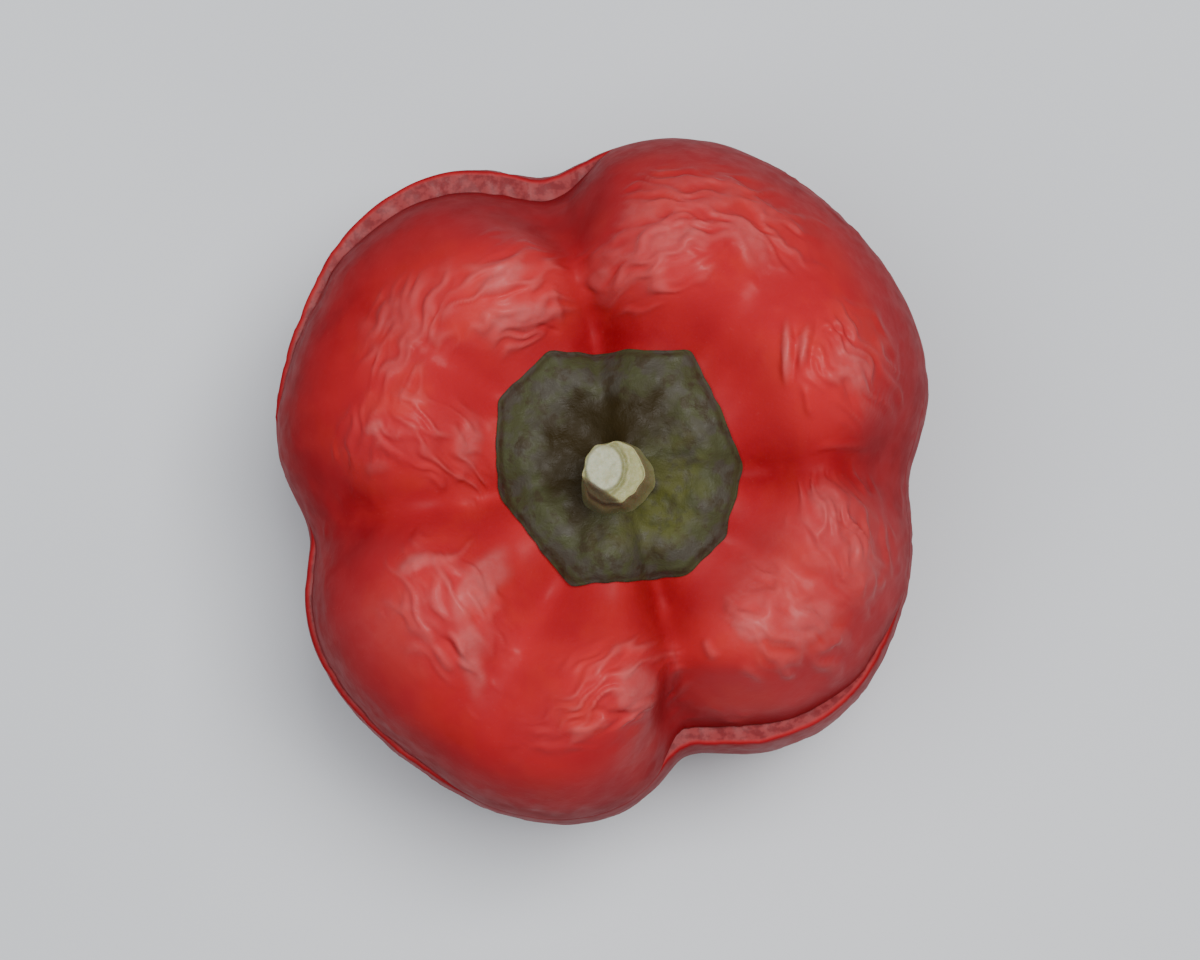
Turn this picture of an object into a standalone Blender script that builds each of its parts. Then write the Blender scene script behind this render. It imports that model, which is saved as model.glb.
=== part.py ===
"""A roasted stuffed bell pepper, standing on its slumped base with its stem up.

Four solids: the lobed red body, the lid that was cut off below the shoulders and lies
on it again, the green calyx that sits in the hollow of the lid, and the short cut stem
that stands on the calyx.
Metres, +Z up. The origin is the middle of the footprint, on the surface it stands on.
Angles are in degrees, counter-clockwise from +X, seen from above.
"""

import math

import bmesh
import bpy
import numpy as np

# Driving dimensions
HEIGHT = 0.0775  # base to the crown of a shoulder of average height
BELLY_HEIGHT = 0.036  # where the body is widest
BLOCKINESS = 2.75  # exponent of the superelliptic side: 2 is a ball, more is boxier
SLUMP = 0.0045  # how much of the underside has flattened against the dish

SEAT_DEPTH = 0.0115  # the hollow between the shoulders, where the calyx sits
SEAT_RADIUS = 0.0215
SEAT_SOFTNESS = 0.0050
DIMPLE_DEPTH = 0.0065  # the blossom end, under the middle
DIMPLE_RADIUS = 0.0120

CALYX_AT = (0.0033, -0.0007)  # the calyx is off the middle of the body
CALYX_EDGE = 0.0010  # thickness at its rim
CALYX_RING = 0.0014  # extra thickness of the raised ring around the stem
CALYX_RING_AT = 0.76  # share of the calyx's radius
CALYX_RING_WIDTH = 0.20
CALYX_CURL = 0.0006  # its rim lifts off the skin

STEM_AT = (0.0028, -0.0013)  # the middle of its foot
STEM_RADIUS = 0.0037  # at the cut
STEM_FLARE = 0.0008  # it widens by this into the calyx
STEM_TOP = 0.0795
STEM_RIBS = 5
STEM_RIB = 0.00015
STEM_LEAN = (0.0001, -0.0007)
STEM_CUT = (0.10, -0.06)  # slope of the cut face along X and Y

GAP = 0.0004  # between neighbouring solids
SEAT_GAP = 0.0007  # between the calyx and the hollow it sits in

CUT_TILT = 13.0  # the tilt of the side where the lid is cut off, about 50 mm up
CUT_MIDDLE = 0.0495  # height of the middle of the cut

SKIN_SEGMENTS = 84
BODY_RINGS = 19
LID_RINGS = 27
CROWDING = 2.0  # how much closer together the rings are around the calyx
CALYX_SEGMENTS = 56
CALYX_RINGS = 7
STEM_SEGMENTS = 30
STEM_RINGS = 8

# Each lobe's middle, its reach from the axis and its crown against HEIGHT.
LOBES = (
    (30.0, 0.0482, +0.0006),
    (68.0, 0.0484, +0.0014),
    (130.0, 0.0482, -0.0016),
    (167.0, 0.0462, -0.0006),
    (226.0, 0.0462, +0.0002),
    (264.0, 0.0474, +0.0012),
    (315.0, 0.0462, -0.0016),
    (340.0, 0.0450, -0.0008),
)

# Each valley between two lobes: where it is, how far it notches the outline, how far
# it dips the shoulder, its width on the clockwise and on the counter-clockwise side,
# and how much of the dip is left at the shoulder's edge. Four are deep and part the
# four carpels. The others fade out before the edge.
VALLEYS = (
    (52.0, 0.0006, 0.0034, 12.0, 12.0, 0.1),
    (100.0, 0.0080, 0.0056, 15.0, 11.0, 1.0),
    (148.0, 0.0010, 0.0036, 11.0, 11.0, 0.1),
    (191.0, 0.0074, 0.0046, 14.0, 13.0, 1.0),
    (242.0, 0.0006, 0.0054, 11.0, 14.0, 0.1),
    (287.5, 0.0094, 0.0056, 10.0, 14.0, 1.0),
    (328.0, 0.0004, 0.0038, 10.0, 10.0, 0.1),
    (0.0, 0.0058, 0.0040, 14.0, 14.0, 1.0),
)
CREASE = 2.6  # degrees over which the bottom of a valley is rounded

# How far the shrunken lid lies inside the rim of the body, by direction
LEDGE = (
    (86.0, 0.0),
    (97.0, 0.0028),
    (110.0, 0.0035),
    (128.0, 0.0026),
    (146.0, 0.0014),
    (160.0, 0.0008),
    (176.0, 0.0),
    (188.0, 0.0),
    (198.0, 0.0010),
    (216.0, 0.0008),
    (236.0, 0.0006),
    (252.0, 0.0),
    (280.0, 0.0),
    (289.0, 0.0024),
    (300.0, 0.0028),
    (312.0, 0.0019),
    (324.0, 0.0008),
    (338.0, 0.0),
)

# The calyx is an uneven polygon: the direction and the reach of each corner.
CALYX_CORNERS = (
    (3.0, 0.0159),
    (58.0, 0.0178),
    (120.0, 0.0176),
    (149.0, 0.0180),
    (190.0, 0.0159),
    (247.0, 0.0163),
    (303.0, 0.0159),
    (327.0, 0.0161),
)


def turn_between(a, b):
    """The signed angle from b to a, in degrees, from -180 to 180."""
    return (a - b + 180.0) % 360.0 - 180.0


def around(angle, values):
    """A smooth periodic curve through (angle, value) pairs, one cosine ease each."""
    for (start, low), (end, high) in zip(values, values[1:] + values[:1]):
        span = (end - start) % 360.0
        along = (angle - start) % 360.0
        if along <= span:
            ease = 0.5 - 0.5 * math.cos(math.pi * along / span)
            return low + (high - low) * ease
    return values[0][1]


def valley(angle, middle, before, after):
    """How deep in one valley a direction is: 1 at its bottom, 0 far from it."""
    off = turn_between(angle, middle)
    width = before if off < 0.0 else after
    off = math.hypot(off, CREASE) - CREASE
    return math.exp(-((off / width) ** 1.3))


def reach(angle):
    return around(angle, [(a, r) for a, r, _ in LOBES])


def crown(angle):
    return around(angle, [(a, c) for a, _, c in LOBES])


def notch(angle):
    return sum(deep * valley(angle, a, v, w) for a, deep, _, v, w, _ in VALLEYS)


def smooth(value, low, high):
    """0 below low, 1 above high, eased between."""
    t = min(max((value - low) / (high - low), 0.0), 1.0)
    return t * t * (3.0 - 2.0 * t)


def dip(angle, out):
    """How far the valleys dip the shoulder, at a share of its reach."""
    fading = smooth(out, 0.62, 0.92)
    return sum(
        deep * valley(angle, a, v, w) * (1.0 + (left - 1.0) * fading)
        for a, _, deep, v, w, left in VALLEYS
    )


def superellipse(tilt):
    """Share of the reach, and of the half height, at a tilt of -90 to 90 degrees."""
    a = math.radians(tilt)
    power = 2.0 / BLOCKINESS
    out = max(math.cos(a), 0.0) ** power
    up = math.copysign(abs(math.sin(a)) ** power, a)
    return out, up


def skin_point(tilt, angle):
    """A point of the skin: tilt -90 is the blossom end, 0 the belly, 90 the calyx."""
    out, up = superellipse(tilt)
    a = math.radians(angle)
    shoulder = smooth(up, 0.1, 0.9)
    foot = smooth(-up, 0.3, 1.0)
    inward = notch(angle) * (0.85 + 0.25 * shoulder - 0.35 * foot)
    radius = (reach(angle) - inward) * out
    if up >= 0.0:
        z = BELLY_HEIGHT + (HEIGHT - BELLY_HEIGHT) * up
        seat = 0.5 - 0.5 * math.tanh((radius - SEAT_RADIUS) / SEAT_SOFTNESS)
        near_rim = smooth(out, 0.15, 0.55) * shoulder
        z += crown(angle) * shoulder - dip(angle, out) * near_rim - SEAT_DEPTH * seat
    else:
        z = BELLY_HEIGHT + (BELLY_HEIGHT + SLUMP) * up
        z += DIMPLE_DEPTH * math.exp(-((radius / DIMPLE_RADIUS) ** 2)) * foot
        z += 0.8 * notch(angle) * smooth(out, 0.1, 0.5) * foot
        z = max(z, 0.0)
    lean = smooth(up, 0.55, 0.98)
    x = radius * math.cos(a) + CALYX_AT[0] * lean
    y = radius * math.sin(a) + CALYX_AT[1] * lean
    return x, y, z


def lid_point(tilt, angle):
    """A point of the lid's skin, which has shrunk inside the rim it was cut from."""
    x, y, z = skin_point(tilt, angle)
    a = math.radians(angle)
    inward = around(angle, LEDGE) * smooth(superellipse(tilt)[0], 0.62, 0.90)
    return x - inward * math.cos(a), y - inward * math.sin(a), z + GAP


def even_tilts(low, high, count):
    """Tilts from low to high at even steps up an average side, closer at the calyx."""
    fine = np.linspace(low, high, 361)
    side = np.array([skin_point(t, 222.0) for t in fine])
    steps = np.linalg.norm(np.diff(side, axis=0), axis=1)
    steps *= [1.0 + CROWDING * smooth(t, 45.0, 65.0) for t in fine[1:]]
    length = np.concatenate([[0.0], np.cumsum(steps)])
    return np.interp(np.linspace(0.0, length[-1], count), length, fine)


def seat_height(angle, radius):
    """Height of the skin at a radius from the calyx's own axis."""
    tilts = np.linspace(90.0, 25.0, 160)
    points = np.array([lid_point(t, angle) for t in tilts])
    out = np.hypot(points[:, 0] - CALYX_AT[0], points[:, 1] - CALYX_AT[1])
    return float(np.interp(radius, out, points[:, 2]))


def calyx_rim(angle):
    """Radius of the calyx's edge, which runs straight from corner to corner."""
    for (start, low), (end, high) in zip(CALYX_CORNERS, CALYX_CORNERS[1:] + CALYX_CORNERS[:1]):
        span = math.radians((end - start) % 360.0)
        along = math.radians((angle - start) % 360.0)
        if along <= span:
            return low * high * math.sin(span) / (
                low * math.sin(along) + high * math.sin(span - along)
            )
    raise ValueError("no corner on either side of %g degrees" % angle)


def calyx_point(share, angle, top):
    """A point of the calyx at a share of its radius, on its top or its underside."""
    a = math.radians(angle)
    radius = calyx_rim(angle) * share
    z = seat_height(angle, radius) + SEAT_GAP
    z += CALYX_CURL * smooth(share, 0.7, 1.0)
    if top:
        off_ring = (share - CALYX_RING_AT) / CALYX_RING_WIDTH
        z += CALYX_EDGE + CALYX_RING * math.exp(-(off_ring**2))
    return (
        CALYX_AT[0] + radius * math.cos(a),
        CALYX_AT[1] + radius * math.sin(a),
        z,
    )


def stem_point(share, angle, base):
    """A point of the stem's side, from its base, share 0, to its cut, share 1."""
    a = math.radians(angle)
    ribs = STEM_RIB * math.cos(STEM_RIBS * a)
    radius = STEM_RADIUS + STEM_FLARE * (1.0 - share) ** 4.0 + ribs
    x = radius * math.cos(a)
    y = radius * math.sin(a)
    cut = STEM_TOP + STEM_CUT[0] * x + STEM_CUT[1] * y
    return (
        STEM_AT[0] + STEM_LEAN[0] * share + x,
        STEM_AT[1] + STEM_LEAN[1] * share + y,
        base + (cut - base) * share,
    )


def solid(name, loops, first, last, material):
    """An object whose side is the loops in order, closed by a fan at each end."""
    bm = bmesh.new()
    rows = [[bm.verts.new(p) for p in loop] for loop in loops]
    count = len(rows[0])
    for low, high in zip(rows, rows[1:]):
        for i in range(count):
            j = (i + 1) % count
            bm.faces.new((low[i], low[j], high[j], high[i]))
    for row, tip, outward in ((rows[0], first, False), (rows[-1], last, True)):
        middle = bm.verts.new(tip)
        for i in range(count):
            a, b = row[i], row[(i + 1) % count]
            bm.faces.new((a, b, middle) if outward else (b, a, middle))
    mesh = bpy.data.meshes.new(name)
    bm.to_mesh(mesh)
    bm.free()
    mesh.materials.append(material)
    mesh.shade_smooth()
    mesh.set_sharp_from_angle(angle=math.radians(50.0))
    obj = bpy.data.objects.new(name, mesh)
    bpy.context.scene.collection.objects.link(obj)
    return obj


def finish(name, colour, roughness):
    """A plain food material of one colour."""
    material = bpy.data.materials.new(name)
    material.use_nodes = True
    shader = material.node_tree.nodes["Principled BSDF"]
    shader.inputs["Base Color"].default_value = (*colour, 1.0)
    shader.inputs["Roughness"].default_value = roughness
    shader.inputs["Metallic"].default_value = 0.0
    return material


def angles(count):
    return [360.0 * i / count for i in range(count)]


def make_body(material):
    tilts = even_tilts(-90.0, CUT_TILT, BODY_RINGS + 1)
    loops = [[skin_point(t, a) for a in angles(SKIN_SEGMENTS)] for t in tilts[1:]]
    blossom_end = skin_point(tilts[0], 0.0)
    return solid("pepper_body", loops, blossom_end, (0.0, 0.0, CUT_MIDDLE), material)


def make_lid(material):
    tilts = even_tilts(CUT_TILT, 90.0, LID_RINGS + 1)
    loops = [[lid_point(t, a) for a in angles(SKIN_SEGMENTS)] for t in tilts[:-1]]
    under_calyx = lid_point(tilts[-1], 0.0)
    return solid("lid", loops, (0.0, 0.0, CUT_MIDDLE + GAP), under_calyx, material)


def make_calyx(material):
    shares = [(i + 1) / CALYX_RINGS for i in range(CALYX_RINGS)]
    under = [[calyx_point(s, a, False) for a in angles(CALYX_SEGMENTS)] for s in shares]
    over = [[calyx_point(s, a, True) for a in angles(CALYX_SEGMENTS)] for s in shares]
    loops = under + over[::-1]
    return solid(
        "calyx",
        loops,
        calyx_point(0.0, 0.0, False),
        calyx_point(0.0, 0.0, True),
        material,
    )


def make_stem(material):
    narrowest = min(calyx_rim(a) for a in angles(CALYX_SEGMENTS))
    off_middle = math.dist(STEM_AT, CALYX_AT)
    under_foot = (off_middle + STEM_RADIUS + STEM_FLARE + STEM_RIB) / narrowest
    base = GAP + max(
        calyx_point(share, a, True)[2]
        for a in angles(CALYX_SEGMENTS)
        for share in (0.0, under_foot / 2, under_foot)
    )
    shares = [i / (STEM_RINGS - 1) for i in range(STEM_RINGS)]
    loops = [[stem_point(s, a, base) for a in angles(STEM_SEGMENTS)] for s in shares]
    foot = (*STEM_AT, base)
    cut = (STEM_AT[0] + STEM_LEAN[0], STEM_AT[1] + STEM_LEAN[1], STEM_TOP)
    return solid("stem", loops, foot, cut, material)


def stand_at_origin(objects):
    """Places the solids so that the middle of their footprint is the origin."""
    points = np.array([v.co for obj in objects for v in obj.data.vertices])
    middle = (points.min(axis=0) + points.max(axis=0)) / 2
    for obj in objects:
        obj.location = (-middle[0], -middle[1], 0.0)


def main():
    for obj in list(bpy.data.objects):
        bpy.data.objects.remove(obj)
    red = finish("roasted_skin", (0.42, 0.022, 0.016), 0.34)
    green = finish("calyx_green", (0.085, 0.080, 0.032), 0.62)
    pale = finish("stem_pith", (0.36, 0.34, 0.22), 0.70)
    stand_at_origin([make_body(red), make_lid(red), make_calyx(green), make_stem(pale)])


main()
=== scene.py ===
"""The looks of a roasted stuffed bell pepper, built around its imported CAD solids.

Each CAD solid is replaced by a finer mesh of the same form: the body, the lid with its
wrinkled shoulders, the mottled calyx and the cut stem. Lengths are in millimetres
and angles in degrees, counter-clockwise from +X seen from above, up to the point
where a mesh is made, which turns them into metres.
"""

import itertools
import math

import bpy
import numpy as np
from mathutils import Matrix, Vector


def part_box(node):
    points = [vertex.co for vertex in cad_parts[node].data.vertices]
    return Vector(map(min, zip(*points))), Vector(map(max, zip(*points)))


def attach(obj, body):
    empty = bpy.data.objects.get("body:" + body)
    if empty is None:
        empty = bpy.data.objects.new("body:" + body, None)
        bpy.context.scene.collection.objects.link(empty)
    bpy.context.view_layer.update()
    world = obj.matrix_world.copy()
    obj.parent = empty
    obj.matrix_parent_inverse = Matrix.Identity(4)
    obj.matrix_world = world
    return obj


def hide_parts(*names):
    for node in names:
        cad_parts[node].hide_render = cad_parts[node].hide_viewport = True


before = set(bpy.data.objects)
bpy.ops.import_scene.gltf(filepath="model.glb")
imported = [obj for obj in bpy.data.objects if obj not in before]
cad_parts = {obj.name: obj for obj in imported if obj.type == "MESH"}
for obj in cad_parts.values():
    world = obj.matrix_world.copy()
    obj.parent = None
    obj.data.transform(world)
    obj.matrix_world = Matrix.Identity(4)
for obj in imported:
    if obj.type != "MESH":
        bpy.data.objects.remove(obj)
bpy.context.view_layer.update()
MM = 0.001

# The form of the body and its lid, as in the CAD solids
HEIGHT = 77.5
BELLY_HEIGHT = 36.0
BLOCKINESS = 2.75
SLUMP = 4.5
SEAT_DEPTH = 11.5
SEAT_RADIUS = 21.5
SEAT_SOFTNESS = 5.0
DIMPLE_DEPTH = 6.5
DIMPLE_RADIUS = 12.0
CREASE = 2.6  # how far the bottom of each valley is rounded, in degrees

# Each lobe's middle, its reach from the axis and its crown against HEIGHT.
LOBES = (
    (30.0, 48.2, +0.6),
    (68.0, 48.4, +1.4),
    (130.0, 48.2, -1.6),
    (167.0, 46.2, -0.6),
    (226.0, 46.2, +0.2),
    (264.0, 47.4, +1.2),
    (315.0, 46.2, -1.6),
    (340.0, 45.0, -0.8),
)

# Each valley: where it is, how far it notches the outline, how far it dips the
# shoulder, its width on the clockwise and on the counter-clockwise side, and how much
# of the dip is left at the shoulder's edge.
VALLEYS = (
    (52.0, 0.6, 3.4, 12.0, 12.0, 0.1),
    (100.0, 8.0, 5.6, 15.0, 11.0, 1.0),
    (148.0, 1.0, 3.6, 11.0, 11.0, 0.1),
    (191.0, 7.4, 4.6, 14.0, 13.0, 1.0),
    (242.0, 0.6, 5.4, 11.0, 14.0, 0.1),
    (287.5, 9.4, 5.6, 10.0, 14.0, 1.0),
    (328.0, 0.4, 3.8, 10.0, 10.0, 0.1),
    (0.0, 5.8, 4.0, 14.0, 14.0, 1.0),
)

# How far the shrunken lid lies inside the rim of the body, by angle
LEDGE = (
    (86.0, 0.0),
    (97.0, 2.8),
    (110.0, 3.5),
    (128.0, 2.6),
    (146.0, 1.4),
    (160.0, 0.8),
    (176.0, 0.0),
    (188.0, 0.0),
    (198.0, 1.0),
    (216.0, 0.8),
    (236.0, 0.6),
    (252.0, 0.0),
    (280.0, 0.0),
    (289.0, 2.4),
    (300.0, 2.8),
    (312.0, 1.9),
    (324.0, 0.8),
    (338.0, 0.0),
)
LEDGE_FROM = 0.62  # it fades out towards the calyx between these shares of the reach
LEDGE_FULL = 0.90
CUT_TILT = 13.0  # the tilt of the side where the lid was cut off
LID_GAP = 0.4  # between the body and the lid

# How far in from the skin, and how far up, the rows of a cut face lie
RIM_STEPS = (
    (0.1, 0.10),
    (0.3, 0.16),
    (0.7, 0.12),
    (1.3, 0.0),
    (2.2, -0.1),
    (3.2, -0.1),
    (4.4, -0.3),
)
UNDER_STEPS = ((0.25, -0.1), (1.0, -0.1), (3.0, 0.0))

# How much painted shade darkens the red on the outer slopes, and beside the calyx, by angle
PAINTED_SHADE_OUTSIDE = (
    (25.0, 0.75),
    (70.0, 0.85),
    (110.0, 0.95),
    (160.0, 0.95),
    (200.0, 0.85),
    (235.0, 0.75),
    (265.0, 0.65),
    (300.0, 0.25),
    (345.0, 0.50),
)
PAINTED_SHADE_INSIDE = (
    (30.0, 0.55),
    (60.0, 0.90),
    (105.0, 0.95),
    (140.0, 0.40),
    (190.0, 0.45),
    (240.0, 0.50),
    (290.0, 0.60),
    (340.0, 0.55),
)

CALYX_AT = (3.3, -0.7)
CALYX_CORNERS = (
    (3.0, 15.9),
    (58.0, 17.8),
    (120.0, 17.6),
    (149.0, 18.0),
    (190.0, 15.9),
    (247.0, 16.3),
    (303.0, 15.9),
    (327.0, 16.1),
)
CALYX_EDGE = 0.9  # its thickness away from the ring, the hub and the ribs
CALYX_LIP = 0.45  # its thickness at the rim
CALYX_SKIRT = 0.8  # the rim reaches this far under the skin
CALYX_RING = 1.4
CALYX_RING_AT = 0.76
CALYX_RING_WIDTH = 0.20
CALYX_HUB = 0.5
CALYX_HUB_RADIUS = 6.0
CALYX_RIB = 0.15
CALYX_RIB_WIDTH = 7.0
OLIVE_AT = 325.0  # the side that is still olive green

STEM_AT = (3.3, -1.8)
STEM_RADIUS = 3.8
STEM_FLARE = 0.8
STEM_TOP = 79.5
STEM_LEAN = (-0.2, -0.3)
STEM_CUT = (0.10, -0.06)
STEM_SUNK = 2.6  # its foot runs this far into the calyx
STEM_SLANT = 236.0  # the side of the slanting cut, darkened with painted shadow
PITH_OFF = (-1.1, 0.5)
PITH_RADII = (2.4, 3.0)

# How finely the pieces are meshed
SKIN_AROUND = 480
BODY_RINGS = 70
LID_RINGS = 190
CALYX_AROUND = 320
CALYX_RINGS = 60
STEM_AROUND = 128
STEM_RINGS = 46
CUT_RINGS = 34
SPACING_SIDE = 222.0  # the side along which the rings of the skin are evenly spaced

# Blisters of loosened skin on the shoulders, paler partly for the loosened skin and partly as
# painted highlight:
# x, y, heading, length, width, height, paleness
BLISTERS = (
    (10.5, 28.2, 12.0, 9.0, 3.6, 0.20, 0.45),
    (6.2, 31.8, -6.0, 7.0, 3.2, 0.16, 0.30),
    (20.2, 27.5, -60.0, 9.0, 4.4, 0.20, 0.35),
    (1.0, 23.6, 10.0, 4.2, 3.0, 0.16, 0.45),
    (33.0, 11.5, -60.0, 8.0, 5.0, 0.23, 0.45),
    (24.6, 13.6, 88.0, 8.6, 1.5, 0.27, 0.60),
    (26.8, 14.2, 80.0, 6.4, 1.3, 0.25, 0.45),
    (-11.0, 23.4, 24.0, 9.0, 3.4, 0.26, 0.60),
    (-9.0, 18.6, 12.0, 9.0, 3.4, 0.25, 0.60),
    (-26.0, 19.0, 70.0, 5.0, 3.0, 0.13, 0.25),
    (-27.6, 4.6, 10.0, 3.2, 2.4, 0.20, 0.55),
    (-15.8, 3.0, 80.0, 8.0, 3.6, 0.20, 0.45),
    (-27.6, -0.4, 0.0, 4.0, 2.2, 0.13, 0.40),
    (-13.4, -14.8, 56.0, 11.0, 5.6, 0.34, 1.00),
    (-15.0, -25.5, 96.0, 11.0, 3.6, 0.20, 0.80),
    (-22.0, -12.8, 24.0, 5.6, 2.6, 0.20, 0.55),
    (5.8, -28.6, -80.0, 7.0, 6.0, 0.29, 0.60),
    (8.2, -29.2, -84.0, 4.4, 1.8, 0.20, 0.80),
    (20.4, -21.2, -10.0, 5.4, 3.2, 0.23, 0.60),
    (27.6, -20.0, 30.0, 8.0, 5.0, 0.26, 0.50),
    (29.6, -5.4, -40.0, 5.6, 4.0, 0.20, 0.40),
    (34.0, -12.0, -70.0, 10.0, 4.4, 0.20, 0.35),
)

# Single folds on the shoulders; a negative height is a crease:
# x, y, heading, length, width, height, bend
FOLDS = (
    (6.1, 23.3, 23.0, 8.6, 0.55, 0.34, 0.5),
    (7.2, 26.0, 29.0, 4.6, 0.50, 0.26, 0.2),
    (5.0, 29.5, 2.0, 7.0, 0.45, -0.26, 0.3),
    (10.4, 29.4, -14.0, 5.0, 0.45, -0.22, -0.3),
    (14.0, 35.6, 6.0, 5.0, 0.45, 0.26, 0.5),
    (18.4, 35.6, -22.0, 4.0, 0.45, 0.26, -0.5),
    (11.4, 31.8, -14.0, 4.6, 0.45, 0.24, 0.6),
    (21.0, 33.4, -50.0, 3.4, 0.45, 0.24, 0.2),
    (24.6, 13.4, 88.0, 9.0, 0.62, 0.42, 0.2),
    (25.6, 13.6, 88.0, 8.0, 0.40, -0.30, 0.2),
    (26.7, 14.2, 79.0, 7.0, 0.55, 0.36, -0.3),
    (27.1, 7.3, -70.0, 4.6, 0.55, 0.32, 0.2),
    (28.1, 14.6, 84.0, 8.6, 0.45, -0.34, -0.4),
    (31.4, 16.2, -10.0, 6.6, 0.45, -0.30, -1.2),
    (31.6, 17.3, -8.0, 4.6, 0.55, 0.24, -0.8),
    (30.7, 9.6, -56.0, 5.0, 0.55, 0.30, 0.3),
    (33.8, 10.8, -56.0, 5.6, 0.50, 0.30, 0.3),
    (32.2, 8.6, -58.0, 4.4, 0.45, -0.26, 0.2),
    (31.6, 2.2, 4.0, 9.0, 0.45, 0.26, -0.3),
    (-11.0, 25.0, 22.0, 8.4, 0.50, 0.34, 0.3),
    (-9.8, 21.2, 10.0, 8.6, 0.50, -0.34, 0.3),
    (-13.4, 17.6, 80.0, 3.4, 0.50, 0.30, 0.2),
    (-10.6, 19.4, 12.0, 5.4, 0.45, 0.26, 0.2),
    (-5.8, 17.2, -30.0, 3.2, 0.45, -0.32, 0.1),
    (-4.9, 20.2, -76.0, 5.0, 0.50, 0.32, 0.3),
    (-27.0, 19.7, 70.0, 3.0, 0.45, 0.32, 0.1),
    (-25.2, 18.2, 96.0, 2.8, 0.45, 0.26, 0.1),
    (-22.7, 15.2, -42.0, 4.8, 0.55, 0.24, 0.2),
    (-20.4, 19.4, 88.0, 2.2, 0.40, 0.28, 0.0),
    (-21.0, 3.8, -18.0, 5.4, 0.45, 0.26, 0.3),
    (-19.8, 0.6, -54.0, 5.4, 0.45, 0.26, 0.2),
    (-18.2, 1.2, -50.0, 4.6, 0.40, -0.22, 0.2),
    (-19.8, -2.4, -30.0, 2.6, 0.50, 0.34, 0.1),
    (-17.0, -1.6, 30.0, 2.4, 0.50, 0.28, 0.1),
    (-19.4, -17.6, -72.0, 7.0, 0.50, 0.30, 1.4),
    (-18.6, -24.7, -54.0, 4.4, 0.50, 0.48, 0.1),
    (-17.6, -23.6, -52.0, 4.6, 0.42, -0.44, 0.1),
    (-16.7, -22.8, -52.0, 4.2, 0.50, 0.44, 0.1),
    (-16.8, -11.4, 36.0, 7.0, 0.50, 0.30, 0.8),
    (-22.2, -13.0, 25.0, 5.0, 0.60, 0.26, 0.1),
    (-23.2, -17.8, 80.0, 3.0, 0.45, 0.24, 0.1),
    (2.1, -25.3, 55.0, 6.2, 0.50, 0.34, 0.2),
    (3.4, -25.6, 57.0, 5.0, 0.42, -0.28, 0.2),
    (0.6, -27.0, 50.0, 3.6, 0.45, 0.26, 0.1),
    (2.6, -31.7, -4.0, 6.4, 0.45, -0.32, 0.3),
    (5.4, -32.4, -24.0, 2.6, 0.55, 0.34, 0.2),
    (0.0, -33.4, 14.0, 5.0, 0.60, 0.24, 0.2),
    (10.2, -24.8, -78.0, 6.6, 0.45, 0.26, 0.4),
    (14.9, -23.6, -49.0, 3.2, 0.55, 0.34, 0.1),
    (18.2, -19.0, -20.0, 3.6, 0.50, 0.26, 0.3),
    (20.2, -26.4, -24.0, 4.0, 0.60, 0.26, -0.4),
    (24.3, -26.0, -58.0, 3.2, 0.55, 0.46, 0.1),
    (26.4, -16.6, -44.0, 2.6, 0.50, 0.24, 0.1),
    (26.2, -21.4, -8.0, 6.0, 0.42, -0.28, -0.3),
    (29.7, -22.8, 26.0, 4.0, 0.50, 0.28, 0.2),
    (30.2, -6.4, -50.0, 3.6, 0.45, 0.26, 0.1),
    (33.0, -8.4, -62.0, 6.4, 0.45, 0.30, 0.3),
    (34.4, -9.4, -66.0, 6.4, 0.40, -0.26, 0.3),
    (34.2, -15.8, -62.0, 4.6, 0.50, 0.36, 0.2),
    (33.2, -13.8, -62.0, 4.0, 0.42, -0.28, 0.2),
    (36.4, -14.8, -110.0, 2.4, 0.50, 0.30, 0.1),
)

# Patches of wrinkled skin on the shoulders:
# x, y, heading of the wrinkles, length, width, spacing, height
PATCHES = (
    (7.5, 25.5, 20.0, 22.0, 12.0, 2.1, 0.45),
    (16.0, 32.5, -12.0, 26.0, 12.0, 2.0, 0.43),
    (23.0, 28.0, -50.0, 15.0, 11.0, 2.1, 0.33),
    (33.5, 12.5, -50.0, 17.0, 13.0, 2.0, 0.42),
    (33.0, -10.0, -64.0, 22.0, 13.0, 1.9, 0.45),
    (25.0, -20.5, -34.0, 21.0, 14.0, 2.0, 0.45),
    (4.0, -28.5, 40.0, 17.0, 14.0, 2.0, 0.43),
    (-3.0, -33.0, 20.0, 16.0, 10.0, 1.9, 0.30),
    (-18.0, -19.0, -56.0, 23.0, 14.0, 2.1, 0.38),
    (-19.5, 2.6, -42.0, 18.0, 12.0, 2.0, 0.40),
    (-29.0, 3.0, 70.0, 14.0, 10.0, 1.9, 0.30),
    (-10.5, 21.5, 18.0, 18.0, 15.0, 2.2, 0.43),
    (-24.0, 17.0, 66.0, 18.0, 13.0, 2.0, 0.35),
)

# Where the camera stands, against the middle of the body, and what it sees
CAMERA_OFF = (18.8, -34.6)
CAMERA_HEIGHT = 476.0
AIM_HEIGHT = 45.0
LENS = 97.0

FLOOR_REACH = 3.0  # metres, from the pepper to the floor's edges
LIGHTS_AIM = 0.04  # metres


def turn_between(a, b):
    """The signed angle from b to a, from -180 to 180."""
    return (a - b + 180.0) % 360.0 - 180.0


def smooth(value, low, high):
    """0 below low, 1 above high, eased between."""
    t = np.clip((value - low) / (high - low), 0.0, 1.0)
    return t * t * (3.0 - 2.0 * t)


def around(angle, knots):
    """A periodic curve through (angle, value) knots, eased from one to the next."""
    result = np.zeros_like(angle)
    for (start, low), (end, high) in zip(knots, knots[1:] + knots[:1]):
        span = (end - start) % 360.0
        along = (angle - start) % 360.0
        ease = 0.5 - 0.5 * np.cos(math.pi * along / span)
        result = np.where(along <= span, low + (high - low) * ease, result)
    return result


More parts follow.
